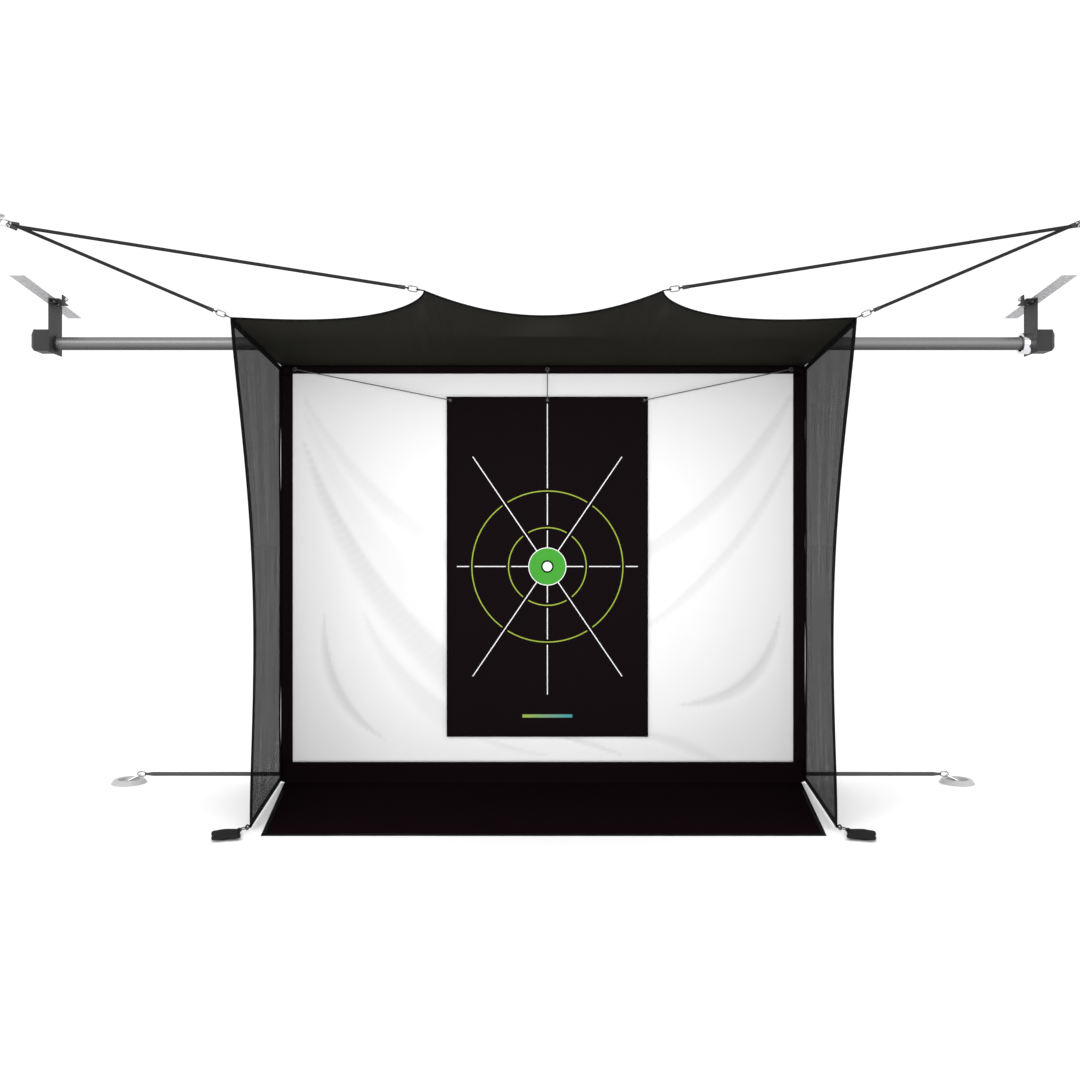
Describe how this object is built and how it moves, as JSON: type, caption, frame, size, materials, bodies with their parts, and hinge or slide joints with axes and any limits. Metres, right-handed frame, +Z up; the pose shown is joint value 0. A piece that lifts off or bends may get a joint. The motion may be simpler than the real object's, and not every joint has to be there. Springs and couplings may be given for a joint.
{
  "type": "roll-up golf practice net enclosure",
  "caption": "Golf practice enclosure: impact screen, side and top nets and a hanging target on a roller between two overhead door rails, tied to ceiling and floor.",
  "frame": {"origin": "on the floor, at the middle of the footprint between the rails' back ends and the ceiling plates", "axes": "+X along the roller to the golfer's right, +Y away from the golfer through the screen, +Z up"},
  "size_m": [5.0894, 1.3703, 2.5118],
  "materials": {
    "galvanised": "zinc-plated, fine spangle",
    "zinc": "bright zinc plate",
    "chrome": "polished",
    "link_steel": "plain steel wire",
    "bracket_grey": "satin powder coat",
    "roller_tube": "satin anodised grey",
    "moulded_black": "fine moulded texture",
    "pan_grey": "light grey powder coat",
    "screen_cloth": "close white polyester weave",
    "black_cloth": "black polyester weave",
    "top_mesh": "dense black netting",
    "side_mesh": "open black netting",
    "black_tape": "woven binding tape",
    "skirt_cloth": "black woven cloth",
    "target_cloth": "black woven cloth with printed rings",
    "bag_cloth": "heavy black cordura",
    "grey_webbing": "flat grey webbing",
    "grey_cord": "thin braided cord",
    "bungee": "braided black shock cord"
  },
  "bodies": {
    "root": {"axle_bearings": "moulded_black", "bag_rings": "link_steel", "bracket_fasteners": "zinc", "cord_ends": "moulded_black", "housing_screws": "zinc", "leader_cloth": "black_cloth", "left_anchor_pan": "pan_grey", "left_bracket": "bracket_grey", "left_bush": "moulded_black", "left_ceiling_hook": "zinc", "left_corner_cord": "bungee", "left_end_housing": "moulded_black", "left_floor_strap": "grey_webbing", "left_hanger_rail": "galvanised", "left_housing_cover": "moulded_black", "left_peak_cord": "bungee", "left_side_binding": "black_tape", "left_side_net": "side_mesh", "net_eyelets": "link_steel", "net_tabs": "black_tape", "right_anchor_pan": "pan_grey", "right_bracket": "bracket_grey", "right_bush": "moulded_black", "right_ceiling_hook": "zinc", "right_collar": "chrome", "right_corner_cord": "bungee", "right_end_housing": "moulded_black", "right_floor_strap": "grey_webbing", "right_hanger_rail": "galvanised", "right_housing_cover": "moulded_black", "right_peak_cord": "bungee", "right_side_binding": "black_tape", "right_side_net": "side_mesh", "screen_border": "black_cloth", "screen_foot": "black_cloth", "screen_panel": "screen_cloth", "snap_links": "link_steel", "target_buttons": "moulded_black", "top_net": "top_mesh"},
    "roller": {"roller_tube": "roller_tube", "cloth_wrap": "black_cloth", "left_tube_plug": "moulded_black", "right_tube_plug": "moulded_black"},
    "target": {"target_sheet": "target_cloth", "target_eyelets": "moulded_black", "target_cord_left": "grey_cord", "target_cord_centre": "grey_cord", "target_cord_right": "grey_cord"},
    "skirt": {"floor_skirt": "skirt_cloth"},
    "left_ring": {"left_anchor_ring": "chrome"},
    "left_bag": {"left_weight_bag": "bag_cloth"},
    "right_ring": {"right_anchor_ring": "chrome"},
    "right_bag": {"right_weight_bag": "bag_cloth"},
    "left_corner_gate_body": {"left_corner_gate": "link_steel"},
    "left_peak_gate_body": {"left_peak_gate": "link_steel"},
    "left_floor_gate_body": {"left_floor_gate": "link_steel"},
    "right_corner_gate_body": {"right_corner_gate": "link_steel"},
    "right_peak_gate_body": {"right_peak_gate": "link_steel"},
    "right_floor_gate_body": {"right_floor_gate": "link_steel"}
  },
  "joints": [
    {"name": "tube_spin", "type": "hinge", "parent": "root", "child": "roller", "pos_m": [0, 0.452, 2.202], "axis": [1, 0, 0], "continuous": true},
    {"name": "target_swing", "type": "hinge", "parent": "root", "child": "target", "pos_m": [0, 0.475, 2.078], "axis": [-1, 0, 0], "range_deg": [0, 30]},
    {"name": "skirt_lift", "type": "hinge", "parent": "root", "child": "skirt", "pos_m": [0, 0.484, 0.004], "axis": [-1, 0, 0], "range_deg": [0, 60]},
    {"name": "left_ring_swing", "type": "hinge", "parent": "root", "child": "left_ring", "pos_m": [-2.081, 0.485, 0.014], "axis": [0, -1, 0], "range_deg": [0, 5]},
    {"name": "left_bag_lift", "type": "hinge", "parent": "root", "child": "left_bag", "pos_m": [-1.26412, -0.45158, 0.016], "axis": [-0.8827, 0.4699, 0], "range_deg": [0, 80]},
    {"name": "right_ring_swing", "type": "hinge", "parent": "root", "child": "right_ring", "pos_m": [2.081, 0.485, 0.014], "axis": [0, 1, 0], "range_deg": [0, 5]},
    {"name": "right_bag_lift", "type": "hinge", "parent": "root", "child": "right_bag", "pos_m": [1.26412, -0.45158, 0.016], "axis": [-0.8827, -0.4699, 0], "range_deg": [0, 80]},
    {"name": "left_corner_gate_open", "type": "hinge", "parent": "root", "child": "left_corner_gate_body", "pos_m": [-1.34649, -0.44694, 2.17669], "axis": [-0.2573, 0.9663, 0], "range_deg": [0, 25], "stiffness_Nm_per_rad": 0.03, "springref_deg": -17.19},
    {"name": "left_peak_gate_open", "type": "hinge", "parent": "root", "child": "left_peak_gate_body", "pos_m": [-0.53181, -0.59677, 2.24396], "axis": [-0.0359, 0.9994, 0], "range_deg": [0, 25], "stiffness_Nm_per_rad": 0.03, "springref_deg": -17.19},
    {"name": "left_floor_gate_open", "type": "hinge", "parent": "root", "child": "left_floor_gate_body", "pos_m": [-2.02352, 0.485, 0.0555], "axis": [0, 1, 0], "range_deg": [0, 25], "stiffness_Nm_per_rad": 0.03, "springref_deg": -17.19},
    {"name": "right_corner_gate_open", "type": "hinge", "parent": "root", "child": "right_corner_gate_body", "pos_m": [1.34649, -0.44694, 2.17669], "axis": [-0.2573, -0.9663, 0], "range_deg": [0, 25], "stiffness_Nm_per_rad": 0.03, "springref_deg": -17.19},
    {"name": "right_peak_gate_open", "type": "hinge", "parent": "root", "child": "right_peak_gate_body", "pos_m": [0.53181, -0.59677, 2.24396], "axis": [-0.0359, -0.9994, 0], "range_deg": [0, 25], "stiffness_Nm_per_rad": 0.03, "springref_deg": -17.19},
    {"name": "right_floor_gate_open", "type": "hinge", "parent": "root", "child": "right_floor_gate_body", "pos_m": [2.02352, 0.485, 0.0555], "axis": [0, -1, 0], "range_deg": [0, 25], "stiffness_Nm_per_rad": 0.03, "springref_deg": -17.19}
  ]
}
